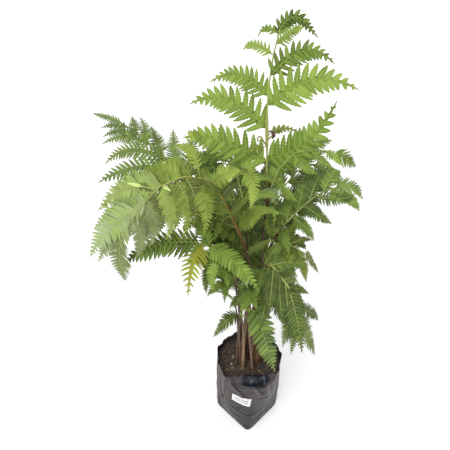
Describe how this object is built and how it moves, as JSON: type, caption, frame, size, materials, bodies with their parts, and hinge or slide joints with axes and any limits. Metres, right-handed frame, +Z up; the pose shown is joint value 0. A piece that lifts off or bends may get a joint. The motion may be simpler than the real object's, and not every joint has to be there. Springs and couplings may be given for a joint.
{
  "type": "potted rough tree fern",
  "caption": "Young tree fern with tall arching fronds of toothed leaflets, standing in a soft black planter bag filled with soil.",
  "frame": {"origin": "centre of the planter bag's base, on the floor", "axes": "+Z up from the base along the trunk, +X to the plant's right seen from the labelled front, -Y toward the front"},
  "size_m": [0.5489, 0.4779, 1.0305],
  "materials": {
    "bag_film": "thin black polythene, semi-gloss, creased",
    "label_paper": "plain white sticker, satin",
    "potting_soil": "moist dark potting mix with bark chips",
    "trunk_fibre": "rough brown fibres and old stalk bases",
    "stalk_brown": "brown stalk, slightly rough, satin",
    "leaf_green": "fresh green leaf, satin, paler beneath"
  },
  "bodies": {
    "root": {"bag": "bag_film", "label": "label_paper", "soil": "potting_soil", "trunk": "trunk_fibre", "stalk_01": "stalk_brown", "stalk_02": "stalk_brown", "stalk_03": "stalk_brown", "stalk_04": "stalk_brown", "stalk_05": "stalk_brown", "stalk_06": "stalk_brown", "stalk_07": "stalk_brown", "stalk_08": "stalk_brown", "stalk_09": "stalk_brown", "stalk_10": "stalk_brown", "stalk_11": "stalk_brown", "stalk_12": "stalk_brown", "stalk_13": "stalk_brown", "stalk_14": "stalk_brown", "stalk_15": "stalk_brown", "stalk_16": "stalk_brown", "stalk_17": "stalk_brown", "stalk_18": "stalk_brown", "stalk_19": "stalk_brown", "frond_01": "leaf_green", "frond_02": "leaf_green", "frond_03": "leaf_green", "frond_04": "leaf_green", "frond_05": "leaf_green", "frond_06": "leaf_green", "frond_07": "leaf_green", "frond_08": "leaf_green", "frond_09": "leaf_green", "frond_10": "leaf_green", "frond_11": "leaf_green", "frond_12": "leaf_green", "frond_13": "leaf_green", "frond_14": "leaf_green", "frond_15": "leaf_green", "frond_16": "leaf_green", "frond_17": "leaf_green", "frond_18": "leaf_green", "frond_19": "leaf_green"}
  },
  "joints": []
}
